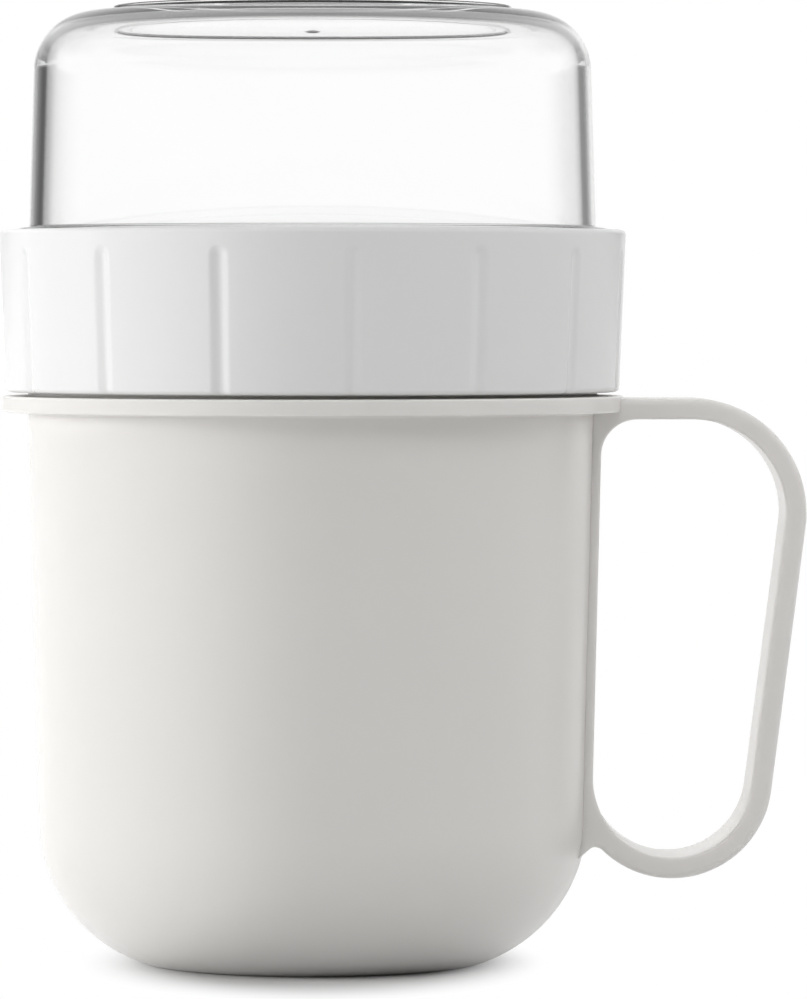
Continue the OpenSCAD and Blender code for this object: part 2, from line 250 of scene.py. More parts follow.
# Radius of the floor's middle ring, and how far a point may be from a wall and still count as part of it.
FLOOR_MIDDLE, SAME_WALL = 8.0, 0.01
mug_section = np.vstack([
    moulded([
        (0, GATE_Z, 0, 1), (GATE_R, GATE_Z, 0.15, 1), (GATE_R, RECESS_Z, 0.15, 1),
        (recess_r, RECESS_Z, 0.3, 2), (recess_r, 0, 0.3, 1), (foot_r, 0, 0, 1),
    ]),
    arc((CORNER_X, CORNER_Z), CORNER_R, foot_turn, -MUG_DRAFT, 33)[1:],
    moulded([
        (mug_wall(WALL_LOW), WALL_LOW, 0, 1), (MUG_R, FLANGE_LOW, 0.5, 16), (FLANGE_R, FLANGE_LOW, 0.4, 2),
        (FLANGE_R, FLANGE_TOP, 0.4, 2), (MUG_R, FLANGE_TOP, 0.4, 2), (MUG_R, NECK_TOP, 0.6, 56),
        (bore_r, NECK_TOP, 0.6, 1), (bore_r, FLANGE_LOW, 0, 4),
    ])[1:],
    arc((CORNER_X, CORNER_Z), CORNER_R - MUG_WALL, -MUG_DRAFT, floor_turn, 29),
    np.array([(FLOOR_MIDDLE, MUG_FLOOR), (0, MUG_FLOOR)]),
])
neck = (mug_section[:, :1] > MUG_R - SAME_WALL) & (mug_section[:, 1:] > FLANGE_TOP)
cup = skin("mug_cup", turned(mug_section, ROUND, neck * thread(mug_section, ROUND, **NECK_THREAD)))
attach(cup, "mug")
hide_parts("mug")

# %% [markdown]
# ## The handle
# The handle is a strap bent round a D-shaped finger opening and moulded in one with the cup. It is widest
# at the top, where a big bend carries it over the hand, and it comes back to the mug in a smaller round
# end with a notch below. A plain sweep would keep one thickness all the way. Here the strap's outer face
# is worked out on its own: free stretches are 3.3 mm thick, the stretch along the mug runs into the wall,
# and the round end is hollowed by the notch. Outside, where the palm lies, the strap's edges are rounded
# more than inside.

# %% Path round the finger opening
STRAP_W, STRAP_T, STRAP_EDGE, OUTER_EDGE, HIDDEN_EDGE = 18.0, 3.3, 0.5, 1.1, 0.2
HANDLE_REACH, BELOW_FLANGE, LOWER_Z = 78.4, 0.4, 29.6
# How far the inner limb stands out from the wall, and how far it runs into it.
LIMB_PROUD, INTO_WALL = 0.5, 1.45
UPPER_R, LOWER_R, ROOT_R, NOTCH_R = 14.9, 12.6, 5.8, 1.7
OPEN_TOP = FLANGE_TOP - BELOW_FLANGE - STRAP_T
ROOT_Z = OPEN_TOP - ROOT_R
draft_cos = math.cos(math.radians(MUG_DRAFT))
upper = np.array([HANDLE_REACH - STRAP_T - UPPER_R, OPEN_TOP - UPPER_R])
lower = np.array([mug_wall(LOWER_Z) + LIMB_PROUD + LOWER_R / draft_cos, LOWER_Z])
root = np.array([mug_wall(ROOT_Z) + LIMB_PROUD + ROOT_R / draft_cos, ROOT_Z])
apart = upper - lower
limb_turn = math.degrees(math.atan2(*apart[::-1]) - math.acos((LOWER_R - UPPER_R) / np.linalg.norm(apart)))
inner_turn = 180 - MUG_DRAFT
print("handle bends at", upper.round(2), lower.round(2), root.round(2))
print("the outer limb leans by", round(limb_turn, 2), "degrees")

# %% Reach from a bend's centre to the wall
# Smallest sine or cosine to divide by, where a direction runs along the face it should meet.
LEAST_SLOPE = 0.05


def wall_behind(z):
    """Radius to which the handle runs into the mug: the outer radius, corner included, less a set amount."""
    low = np.minimum(z, CORNER_Z)
    corner = CORNER_X + np.sqrt(CORNER_R**2 - (CORNER_Z - low) ** 2)
    return np.where(z > CORNER_Z, mug_wall(z), corner) - INTO_WALL


def reach_to_wall(centre, turn):
    """Distance from a bend's centre to the depth inside the wall, along the direction turn.

    The wall is nearly upright, so dividing the gap in x by the cosine and correcting the height settles it.
    """
    reach = np.zeros_like(turn)
    for _ in range(8):
        behind = wall_behind(centre[1] + reach * np.sin(turn))
        reach = (centre[0] - behind) / np.maximum(-np.cos(turn), LEAST_SLOPE)
    return reach


# %% Notch between the round end and the mug
# Angle in radians that keeps two stations apart where the outer face jumps at the notch's edge.
NUDGE = 1e-4
to_strap = LOWER_R + STRAP_T + NOTCH_R
to_corner = CORNER_R + NOTCH_R
to_lower = lower - (CORNER_X, CORNER_Z)
span = np.linalg.norm(to_lower)
between = math.acos((to_corner * to_corner + span * span - to_strap * to_strap) / (2 * to_corner * span))
swing = math.atan2(*to_lower[::-1]) - between
NOTCH = np.array([CORNER_X + to_corner * math.cos(swing), CORNER_Z + to_corner * math.sin(swing)])
notch_turn = math.atan2(*(NOTCH - lower)[::-1]) + 2 * math.pi
notch_edge = notch_turn - math.asin(NOTCH_R / np.linalg.norm(NOTCH - lower)) + NUDGE
print("notch at", NOTCH.round(2))


def notch_reach(turn):
    """Distance from the lower bend's centre to the near side of the notch's circle.

    Along a ray at the angle d from the line of centres it is L cos d - sqrt(r^2 - L^2 sin^2 d).
    """
    length, off = np.linalg.norm(NOTCH - lower), turn - notch_turn
    return length * np.cos(off) - np.sqrt(np.maximum(NOTCH_R**2 - (length * np.sin(off)) ** 2, 0))


# %% Stations of the strap: centre, inner radius, direction, outer distance and edge rounding


def stations(centre, inner, turns, outer, edge):
    """Rows of (x and z of the centre, inner radius, direction, outer radius, outer edge rounding)."""
    turns = np.asarray(turns, float)
    wide = np.ones_like(turns)
    columns = [centre[0] * wide, centre[1] * wide, inner * wide, turns, outer * wide, edge * wide]
    return np.column_stack(columns)


upper_turns = np.radians(np.linspace(limb_turn, 90, 33))
root_turns = np.radians(np.linspace(90, inner_turn, 25))
to_wall = reach_to_wall(root, root_turns)
to_top = (ROOT_R + STRAP_T) / np.maximum(np.sin(root_turns), LEAST_SLOPE)
root_edge = np.where(to_top < to_wall, OUTER_EDGE, HIDDEN_EDGE)
behind_turns = np.linspace(math.radians(inner_turn), notch_edge - 2 * NUDGE, 15)
notch_turns = np.linspace(notch_edge, notch_turn, 13)
lower_turns = np.linspace(notch_turn, math.radians(360 + limb_turn), 37)[1:]
strap = np.vstack([
    stations(upper, UPPER_R, upper_turns, UPPER_R + STRAP_T, OUTER_EDGE),
    stations(root, ROOT_R, root_turns, np.minimum(to_wall, to_top), root_edge),
    stations(lower, LOWER_R, behind_turns, reach_to_wall(lower, behind_turns), HIDDEN_EDGE),
    stations(lower, LOWER_R, notch_turns, notch_reach(notch_turns), OUTER_EDGE),
    stations(lower, LOWER_R, lower_turns, LOWER_R + STRAP_T, OUTER_EDGE),
])
print("strap stations:", len(strap))
print("outer radius from", strap[:, 4].min().round(2), "to", strap[:, 4].max().round(2), "mm")

# %% Skin of the handle


def strap_surface(strap, steps=6):
    """Strap as a grid of [station, point of the section, xyz].

    The section is a rectangle with rounded corners, in the distance from the bend's centre and in y. Each
    corner is its own centre plus its rounding times (cos, sin). A point at the distance d lies at the bend's
    centre plus d times the direction.
    """
    cx, cz, inner, turn, outer, edge = strap.T[:, :, None]
    sweep = np.radians(np.linspace(-90, 0, steps + 1))
    half = STRAP_W / 2
    corners = []
    for side, outside, quarter in ((-1, True, 0), (1, True, 90), (1, False, 180), (-1, False, 270)):
        e = edge if outside else STRAP_EDGE + 0 * edge
        middle = outer - e if outside else inner + e
        way = sweep + math.radians(quarter)
        corners.append(np.stack([middle + e * np.cos(way), side * (half - e) + e * np.sin(way)], axis=-1))
    distance, y = np.moveaxis(np.concatenate(corners, axis=1), -1, 0)
    return np.stack([cx + distance * np.cos(turn), y, cz + distance * np.sin(turn)], axis=-1)


handle = skin("mug_handle", strap_surface(strap), ring=True)
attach(handle, "mug")
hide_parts("mug")

# %% [markdown]
# ## The screw collar
# The collar is a glossier white moulding with fifteen shallow flutes for the fingers. Inside it a
# partition keeps the two foods apart, a plug rib guides the mug's rim, and threads grip the mug below and
# the bowl above. The flutes could be cut with a boolean, which leaves ragged edges. Lowering the surface
# round each flute's middle line by a soft curve gives the rounded hollows that a mould gives.

# %% Columns that crowd where the flutes are
COLLAR_LOW, COLLAR_TOP = heights("screw_collar")
COLLAR_R, COLLAR_TAPER = 50.0, 1.1
FLUTES, FLUTE_HALF, FLUTE_DEEP, FLUTE_END = 15, 1.76, 0.42, 112.5
# Degrees from the front to the nearest flute, and from a flute's middle to just past its side.
FRONT_FLUTE, FLUTE_SPAN = 7.2, 2.2
pitch = 360 / FLUTES
first_flute = FRONT_FLUTE - 90
across_flute = np.linspace(-FLUTE_SPAN, FLUTE_SPAN, 17)
to_next_flute = np.linspace(FLUTE_SPAN, pitch - FLUTE_SPAN, 9)[1:-1]
near_flute = np.concatenate([across_flute, to_next_flute])
flute_columns = np.radians((first_flute + near_flute + pitch * np.arange(FLUTES)[:, None]).ravel())
print("columns round the collar:", flute_columns.size)

# %% Relief of the flutes
# Radius at which the outer skin begins, and the width over which the flutes reach their depth.
SKIN_R, SKIN_FADE = 47.7, 0.6


def flutes(section, angles):
    """Depth of the flutes: a raised cosine of the distance to the nearest flute's middle line.

    The distance is the arc length at the collar's radius. Above the flute's end it is taken from that end,
    which gives the round top. Only the outer skin is lowered: the depth fades out towards the inside of the
    rim.
    """
    turns = (np.degrees(angles) - first_flute) / pitch
    beside = np.radians((turns - np.round(turns)) * pitch) * COLLAR_R
    above = np.maximum(section[:, 1:] - FLUTE_END, 0)
    away = np.clip(np.hypot(beside, above) / FLUTE_HALF, 0, 1)
    outside = np.clip((section[:, :1] - SKIN_R) / SKIN_FADE, 0, 1)
    return FLUTE_DEEP * 0.5 * (1 + np.cos(np.pi * away)) * outside


# %% Half section of the collar


def collar_r(z):
    """Outer radius of the collar at height z: straight from the narrower lower edge to the top."""
    return COLLAR_R - COLLAR_TAPER * (COLLAR_TOP - z) / (COLLAR_TOP - COLLAR_LOW)


WEB_LOW = heights("mug_seal")[1]
LEDGE = heights("bowl_seal")[0]
PLUG_R, PLUG_W, COLLAR_BORE, SOCKET_R, REBATE_R = 42.6, 1.6, 46.6, 46.4, 47.6
WEB_TOP, PLUG_LOW = 105.6, 100.4
# Heights between which the rows lie closer, for the round tops of the flutes.
FLUTE_ROWS_LOW, FLUTE_ROWS_TOP = 111, 115
plug_in = PLUG_R - PLUG_W
collar_section = moulded([
    (0, WEB_LOW, 0, 1), (plug_in, WEB_LOW, 0.3, 2), (plug_in, PLUG_LOW, 0.3, 1), (PLUG_R, PLUG_LOW, 0.3, 1),
    (PLUG_R, WEB_LOW, 0.3, 1), (COLLAR_BORE, WEB_LOW, 0.3, 1), (COLLAR_BORE, COLLAR_LOW, 0.4, 60),
    (collar_r(COLLAR_LOW), COLLAR_LOW, 0.8, 1), (collar_r(FLUTE_ROWS_LOW), FLUTE_ROWS_LOW, 0, 8),
    (collar_r(FLUTE_ROWS_TOP), FLUTE_ROWS_TOP, 0, 20), (COLLAR_R, COLLAR_TOP, 0.8, 2),
    (REBATE_R, COLLAR_TOP, 0.3, 1), (REBATE_R, LEDGE, 0.2, 2), (SOCKET_R, LEDGE, 0.25, 1),
    (SOCKET_R, WEB_TOP, 0.3, 44), (0, WEB_TOP, 0, 2),
])
print("rows from the partition's underside round to its top:", len(collar_section))

# %% Skin of the collar
BORE_THREAD = {"low": 92.2, "high": 101.4, "tall": 0.8, "half_turn": 0.5}
SOCKET_THREAD = {"low": 107.4, "high": 113.7, "tall": 0.75, "half_turn": 0.5}
in_bore = np.abs(collar_section[:, :1] - COLLAR_BORE) < SAME_WALL
in_socket = np.abs(collar_section[:, :1] - SOCKET_R) < SAME_WALL
collar_relief = (
    -flutes(collar_section, flute_columns)
    - in_bore * thread(collar_section, flute_columns, **BORE_THREAD)
    - in_socket * thread(collar_section, flute_columns, **SOCKET_THREAD)
)
collar = skin("screw_collar_fluted", turned(collar_section, flute_columns, collar_relief))
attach(collar, "collar")
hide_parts("screw_collar")

# %% [markdown]
# ## The clear bowl
# The bowl is a clear moulding of even thickness, carried upside down. What the eye sees of it is its
# edges: the foot ring and the step inside it, the round shoulder, the flange on the collar. Clear plastic
# bends light by its real thickness, so the wall is modelled with both its faces, and with many columns so
# that the bent lines stay smooth.

# %% Sizes of the bowl
SPIGOT_LOW, BOWL_TOP = heights("clear_bowl")
BOWL_FLANGE_LOW = heights("bowl_seal")[1]
BOWL_R, BOWL_DRAFT, BOWL_WALL, SHOULDER_R, HOLLOW_R = 45.2, 1.75, 2.0, 9.5, 7.0
BOWL_FLANGE_R, BOWL_LOW = 47.1, 117.1
FOOT_RING_H, FOOT_RING_W, FOOT_INSET, FOOT_RECESS, FOOT_STEP = 0.9, 2.4, 3.2, 0.3, 0.5
shoulder_top = BOWL_TOP - FOOT_RING_H
shoulder_z = shoulder_top - SHOULDER_R
bowl_lean = math.radians(BOWL_DRAFT)
shoulder_x = BOWL_R - (shoulder_z - BOWL_LOW) * math.tan(bowl_lean) - SHOULDER_R / math.cos(bowl_lean)
foot_ring_r = shoulder_x - FOOT_INSET
foot_z = BOWL_TOP - FOOT_RECESS
ceiling_z = foot_z - BOWL_WALL
ring_in = foot_ring_r - FOOT_RING_W
step_r = foot_ring_r - FOOT_STEP
hollow_z = shoulder_top - BOWL_WALL - HOLLOW_R
hollow_wall = BOWL_R - (hollow_z - BOWL_LOW) * math.tan(bowl_lean)
hollow_x = hollow_wall - (HOLLOW_R + BOWL_WALL) / math.cos(bowl_lean)
print("foot ring:", round(foot_ring_r, 2), "mm in radius, ceiling at", round(ceiling_z, 2), "mm")

# %% Half section of the bowl
BOWL_GATE_H, BOWL_GATE_TIP, BOWL_GATE_R = 0.5, 0.5, 1.4
gate_z = ceiling_z - BOWL_GATE_H
bowl_bore = BOWL_R - BOWL_WALL
inside = arc((hollow_x, hollow_z), HOLLOW_R, 90, BOWL_DRAFT, 31)
outside = arc((shoulder_x, shoulder_z), SHOULDER_R, BOWL_DRAFT, 90, 37)
bowl_section = np.vstack([
    moulded([
        (0, gate_z, 0, 1), (BOWL_GATE_TIP, gate_z, 0.3, 1), (BOWL_GATE_R, ceiling_z, 0.3, 1),
        (step_r, ceiling_z, 0.2, 4), (step_r, inside[0, 1], 0.2, 1), (*inside[0], 0, 1),
    ]),
    inside[1:],
    moulded([
        (*inside[-1], 0, 1), (bowl_bore, BOWL_LOW, 0, 6), (bowl_bore, SPIGOT_LOW, 0.5, 4),
        (BOWL_R, SPIGOT_LOW, 0.5, 1), (BOWL_R, BOWL_FLANGE_LOW, 0.2, 44),
        (BOWL_FLANGE_R, BOWL_FLANGE_LOW, 0.5, 1), (BOWL_FLANGE_R, BOWL_LOW, 0.5, 1),
        (BOWL_R, BOWL_LOW, 0.3, 1), (*outside[0], 0, 6),
    ])[1:],
    outside[1:],
    moulded([
        (*outside[-1], 0, 1), (foot_ring_r, shoulder_top, 0.1, 1), (foot_ring_r, BOWL_TOP, 0.2, 1),
        (ring_in, BOWL_TOP, 0.1, 1), (ring_in, foot_z, 0.1, 1), (0, foot_z, 0, 4),
    ])[1:],
])
print("rows from the ceiling's middle round to the foot's middle:", len(bowl_section))

# %% Skin of the bowl
FINE = np.linspace(0, 2 * np.pi, 384, endpoint=False)
SPIGOT_THREAD = {"low": 107.5, "high": 113.5, "tall": 0.75}
on_spigot = np.abs(bowl_section[:, :1] - BOWL_R) < SAME_WALL
on_spigot &= bowl_section[:, 1:] < BOWL_FLANGE_LOW
bowl_relief = on_spigot * thread(bowl_section, FINE, **SPIGOT_THREAD)
bowl = skin("clear_bowl_dome", turned(bowl_section, FINE, bowl_relief))
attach(bowl, "bowl")
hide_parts("clear_bowl")

# %% [markdown]
# ## The seals
# Each screw joint closes on a flat ring moulded in silicone. One lies on the mug's rim round the plug
# rib, and the other on the collar's ledge under the bowl's flange. They are small, so a turned ring with
# rounded edges is enough.

# %% Skins of the two seals
SEAL_PLAY, SEAL_EDGE = 0.35, 0.3


def seal_ring(name, r0, r1, z0, z1):
    """Ring from radius r0 to r1 and height z0 to z1: a rectangle with rounded corners, turned."""
    middle = (r0 + r1) / 2
    section = moulded([
        (middle, z0, 0, 1), (r1, z0, SEAL_EDGE, 1), (r1, z1, SEAL_EDGE, 1),
        (r0, z1, SEAL_EDGE, 1), (r0, z0, SEAL_EDGE, 1), (middle, z0, 0, 1),
    ])[:-1]
    return skin(name, turned(section, ROUND), ring=True)


mug_ring = seal_ring("mug_seal_ring", PLUG_R + SEAL_PLAY, COLLAR_BORE - SEAL_PLAY, NECK_TOP, WEB_LOW)
bowl_ring = seal_ring("bowl_seal_ring", BOWL_R + SEAL_PLAY, REBATE_R - SEAL_PLAY, LEDGE, BOWL_FLANGE_LOW)
for ring, node_name in ((mug_ring, "mug_seal"), (bowl_ring, "bowl_seal")):
    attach(ring, node_name)
    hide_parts(node_name)

# %% [markdown]
# ## Materials
# A material here is a small graph of nodes that ends in one shader. Colours are written as they look on a
# screen, as hex values, and turned into the linear light that the renderer counts in. Patterns read
# Object coordinates, which are metres on the piece itself, so a grain of a third of a millimetre has a
# scale of one over that size.

# %% Helpers for colours and nodes


def linear(hex_colour):
    """Linear colour of an sRGB hex value: c / 12.92 near black, ((c + 0.055) / 1.055) ^ 2.4 above."""
    c = np.array([int(hex_colour[i:i + 2], 16) for i in (1, 3, 5)]) / 255
    return (*np.where(c <= 0.04045, c / 12.92, ((c + 0.055) / 1.055) ** 2.4), 1.0)


def add(tree, kind, settings=None, links=None):
    """Adds a node. settings holds attributes or input values, links (node, output), by name or number."""
    node = tree.nodes.new(kind)
    for key, value in (settings or {}).items():
        if hasattr(node, str(key)):
            setattr(node, key, value)
        else:
            node.inputs[key].default_value = value
    for key, (source, output) in (links or {}).items():
        tree.links.new(source.outputs[output], node.inputs[key])
    return node


def grain_scale(size_mm):
    """Scale of a noise in Object coordinates whose features are about this size."""
    return 1 / (size_mm * MM)


def finish_of(name):
    """New material with an empty graph, and its graph."""
    material = bpy.data.materials.new(name)
    material.use_nodes = True
    material.node_tree.nodes.clear()
    return material, material.node_tree


# %% [markdown]
# ## Matt polypropylene of the mug
# Polypropylene is a soft, slightly waxy plastic. The mug's mould was spark-eroded, which leaves a fine
# dull grain and only broad, faint reflections. Light goes a little way into the wax-like plastic and
# comes out beside where it went in, so the shading is soft and the thin strap of the handle glows. The
# white is a little warm. The grain of such a mould is about a tenth of a millimetre, too fine to show, so
# it is drawn three times coarser and very shallow.

# %% Matt polypropylene
matt_pp, tree = finish_of("matt_moulded_polypropylene")
place = add(tree, "ShaderNodeTexCoord")
cloud = add(
    tree, "ShaderNodeTexNoise", {"Scale": grain_scale(30), "Detail": 3.0},
    {"Vector": (place, "Object")},
)
tone = add(
    tree, "ShaderNodeMix", {"data_type": "RGBA", "A": linear("#E9E7E4"), "B": linear("#ECEAE7")},
    {"Factor": (cloud, "Fac")},
)
grain = add(
    tree, "ShaderNodeTexNoise", {"Scale": grain_scale(0.35), "Detail": 2.0},
    {"Vector": (place, "Object")},
)
dull = add(tree, "ShaderNodeMapRange", {"To Min": 0.24, "To Max": 0.28}, {"Value": (grain, "Fac")})
rough_skin = add(
    tree, "ShaderNodeBump", {"Strength": 0.02, "Distance": 0.05 * MM},
    {"Height": (grain, "Fac")},
)
waxy = {"Subsurface Weight": 0.5, "Subsurface Radius": (1.0, 1.0, 1.0), "Subsurface Scale": 2.0 * MM}
shader = add(
    tree, "ShaderNodeBsdfPrincipled", {"IOR": 1.49, **waxy},
    {"Base Color": (tone, "Result"), "Roughness": (dull, "Result"), "Normal": (rough_skin, "Normal")},
)
add(tree, "ShaderNodeOutputMaterial", links={"Surface": (shader, "BSDF")})
for piece in (cup, handle):
    piece.data.materials.append(matt_pp)
print("mug:", matt_pp.name)

# %% [markdown]
# ## Glossy polypropylene of the collar
# The collar's mould was polished, so the same kind of plastic comes out with a soft shine, in a cooler
# white. Polished mouldings are never quite flat: the plastic shrinks by a few hundredths of a millimetre,
# which makes reflections waver.

# %% Glossy polypropylene
gloss_pp, tree = finish_of("polished_moulded_polypropylene")
place = add(tree, "ShaderNodeTexCoord")
cloud = add(
    tree, "ShaderNodeTexNoise", {"Scale": grain_scale(25), "Detail": 2.0},
    {"Vector": (place, "Object")},
)
tone = add(
    tree, "ShaderNodeMix", {"data_type": "RGBA", "A": linear("#ECECEC"), "B": linear("#EFEFEF")},
    {"Factor": (cloud, "Fac")},
)
smear = add(
    tree, "ShaderNodeTexNoise", {"Scale": grain_scale(4), "Detail": 4.0},
    {"Vector": (place, "Object")},
)
sheen = add(tree, "ShaderNodeMapRange", {"To Min": 0.2, "To Max": 0.26}, {"Value": (smear, "Fac")})
waver = add(
    tree, "ShaderNodeBump", {"Strength": 0.1, "Distance": 0.05 * MM},
    {"Height": (smear, "Fac")},
)
shader = add(
    tree, "ShaderNodeBsdfPrincipled", {"IOR": 1.49},
    {"Base Color": (tone, "Result"), "Roughness": (sheen, "Result"), "Normal": (waver, "Normal")},
)
add(tree, "ShaderNodeOutputMaterial", links={"Surface": (shader, "BSDF")})
collar.data.materials.append(gloss_pp)
print("collar:", gloss_pp.name)

# %% [markdown]
# ## Clear plastic of the bowl
# The bowl is a clear styrene plastic with an index of about 1.57. It is almost colourless, so its edges
# are drawn by refraction alone: inside the rim of the wall light is turned aside by up to 30 degrees and
# brings in what stands beside the background. The faintest flow waves from moulding keep it from looking
# like optical glass. Lamp light passes through the bowl nearly undimmed, so the bowl throws no shadow on
# the collar and the table.

# %% Clear plastic
clear, tree = finish_of("clear_moulded_styrene")
place = add(tree, "ShaderNodeTexCoord")
flow = add(
    tree, "ShaderNodeTexNoise", {"Scale": grain_scale(18), "Detail": 1.0},
    {"Vector": (place, "Object")},
)
tint = add(
    tree, "ShaderNodeMix", {"data_type": "RGBA", "A": linear("#FDFDFD"), "B": linear("#FFFFFF")},
    {"Factor": (flow, "Fac")},
)
ripple = add(
    tree, "ShaderNodeBump", {"Strength": 0.05, "Distance": 0.05 * MM},
    {"Height": (flow, "Fac")},
)
shader = add(
    tree, "ShaderNodeBsdfPrincipled", {"Transmission Weight": 1.0, "Roughness": 0.02, "IOR": 1.57},
    {"Base Color": (tint, "Result"), "Normal": (ripple, "Normal")},
)
add(tree, "ShaderNodeOutputMaterial", links={"Surface": (shader, "BSDF")})
bowl.data.materials.append(clear)
bowl.visible_shadow = False
print("bowl:", clear.name)

# %% [markdown]
# ## Silicone of the seals
# Food-grade silicone is milky and lets light into its surface, with a dull, slightly dusty skin.

# %% Silicone
silicone, tree = finish_of("translucent_silicone")
place = add(tree, "ShaderNodeTexCoord")
dust = add(
    tree, "ShaderNodeTexNoise", {"Scale": grain_scale(0.6), "Detail": 3.0},
    {"Vector": (place, "Object")},
)
tone = add(
    tree, "ShaderNodeMix", {"data_type": "RGBA", "A": linear("#C9CCCB"), "B": linear("#D6D8D6")},
    {"Factor": (dust, "Fac")},
)
dull = add(tree, "ShaderNodeMapRange", {"To Min": 0.45, "To Max": 0.65}, {"Value": (dust, "Fac")})
soft_skin = add(
    tree, "ShaderNodeBump", {"Strength": 0.1, "Distance": 0.04 * MM},
    {"Height": (dust, "Fac")},
)
milky = {"Subsurface Weight": 0.4, "Subsurface Radius": (1.0, 1.0, 1.0), "Subsurface Scale": 1.2 * MM}
shader = add(
    tree, "ShaderNodeBsdfPrincipled", {"IOR": 1.41, **milky},
    {"Base Color": (tone, "Result"), "Roughness": (dull, "Result"), "Normal": (soft_skin, "Normal")},
)
add(tree, "ShaderNodeOutputMaterial", links={"Surface": (shader, "BSDF")})
for ring in (mug_ring, bowl_ring):
    ring.data.materials.append(silicone)
print("seals:", silicone.name)

# %% [markdown]
# ## The stage
# The cup stands on a white sheet in front of white. In an oval patch round the cup the sheet is ordinary
# matt paper that takes the contact shadow. Painted shade lies on top of that shadow: the paper's colour is
# greyer under the cup than at the patch's edge.
# Further out it is as bright as the background for the rays that the eye, mirrors and clear plastic
# follow, so there is no horizon. The lamps don't have to be turned up to make it white.

# %% Floor
# Half the sheet's side in metres, and how far it lies below the foot so that the two faces stay apart.
FLOOR_HALF, FLOOR_DROP = 6.0, 0.05 * MM
floor_mesh = bpy.data.meshes.new("paper_floor")
floor_corners = np.array([(-1, -1, 0), (1, -1, 0), (1, 1, 0), (-1, 1, 0)]) * FLOOR_HALF - (0, 0, FLOOR_DROP)
floor_mesh.from_pydata(floor_corners, [], [(0, 1, 2, 3)])
floor = bpy.data.objects.new("paper_floor", floor_mesh)
bpy.context.scene.collection.objects.link(floor)
print("floor:", 2 * FLOOR_HALF, "m wide")

# %% Paper of the floor


def seen_rays(tree):
    """Light Path node, and a node that is 1 for rays that the eye, a reflection or clear plastic follows."""
    rays = add(tree, "ShaderNodeLightPath")
    near = add(
        tree, "ShaderNodeMath", {"operation": "MAXIMUM"},
        {0: (rays, "Is Camera Ray"), 1: (rays, "Is Glossy Ray")},
    )
    seen = add(
        tree, "ShaderNodeMath", {"operation": "MAXIMUM"},
        {0: (near, "Value"), 1: (rays, "Is Transmission Ray")},
    )
    return rays, seen


# The patch is this many times longer from front to back than it is wide. Its edge lies between two distances
# from the middle, measured from front to back. The painted shade that turns the paper from greyer to whiter
# also lies between two such distances.
PATCH_SQUEEZE = 1.75
PATCH_IN, PATCH_OUT = 37 * MM, 66 * MM
PAINTED_SHADE_IN, PAINTED_SHADE_OUT = 34 * MM, 70 * MM
paper, tree = finish_of("white_paper_sweep")
place = add(tree, "ShaderNodeTexCoord")
narrow = add(
    tree, "ShaderNodeVectorMath", {"operation": "MULTIPLY", 1: (PATCH_SQUEEZE, 1.0, 1.0)},
    {0: (place, "Object")},
)
away = add(tree, "ShaderNodeVectorMath", {"operation": "LENGTH"}, {0: (narrow, "Vector")})
open_sheet = add(
    tree, "ShaderNodeMapRange",
    {"interpolation_type": "SMOOTHSTEP", "From Min": PATCH_IN, "From Max": PATCH_OUT},
    {"Value": (away, "Value")},
)
rays, seen = seen_rays(tree)
share = add(
    tree, "ShaderNodeMath", {"operation": "MULTIPLY"},
    {0: (seen, "Value"), 1: (open_sheet, "Result")},
)
# Painted shade: the paper's colour darkens towards the cup, from 0.8 at the outer distance to 0.65 at the
# inner one.
tone = add(
    tree, "ShaderNodeMapRange", {"From Min": PAINTED_SHADE_IN, "From Max": PAINTED_SHADE_OUT, "To Min": 0.65, "To Max": 0.8},
    {"Value": (away, "Value")},
)
matt = add(tree, "ShaderNodeBsdfDiffuse", links={"Color": (tone, "Result")})
bright = add(tree, "ShaderNodeEmission", {"Color": (1, 1, 1, 1), "Strength": 1.0})
both = add(
    tree, "ShaderNodeMixShader",
    links={0: (share, "Value"), 1: (matt, "BSDF"), 2: (bright, "Emission")},
)
add(tree, "ShaderNodeOutputMaterial", links={"Surface": (both, "Shader")})
floor_mesh.materials.append(paper)
print("paper:", paper.name)

# %% [markdown]
# ## The studio round the cup
# Clear things are photographed against a bright panel with darker walls beside it, because those walls
# are what the edges of the plastic bring in. The world plays that studio. The eye sees white everywhere.
# A ray that was bent sees a white panel behind the cup, about 12 degrees to the left, 14 to the right and
# 15 upwards, then walls that are darkest on the left, and white beyond them. A ray that was reflected
# upwards sees white, as of a large soft light overhead.

# %% Brightness of the studio by angle
world = bpy.data.worlds.new("white_studio")
bpy.context.scene.world = world
world.use_nodes = True
tree = world.node_tree
tree.nodes.clear()
# Degrees from the middle of the panel at which the ramps end.
WIDEST = 90


def surround(tree, angle, stops):
    """Brightness by the angle from the middle of the panel, through stops of (degrees, linear grey)."""
    share = add(tree, "ShaderNodeMath", {"operation": "DIVIDE", 1: math.radians(WIDEST)}, {0: angle})
    ramp = add(tree, "ShaderNodeValToRGB", links={0: (share, "Value")})
    elements = ramp.color_ramp.elements
    for element, (degrees, grey) in zip(elements, (stops[0], stops[-1])):
        element.position, element.color = degrees / WIDEST, (grey, grey, grey, 1)
    for degrees, grey in stops[1:-1]:
        elements.new(degrees / WIDEST).color = (grey, grey, grey, 1)
    return ramp


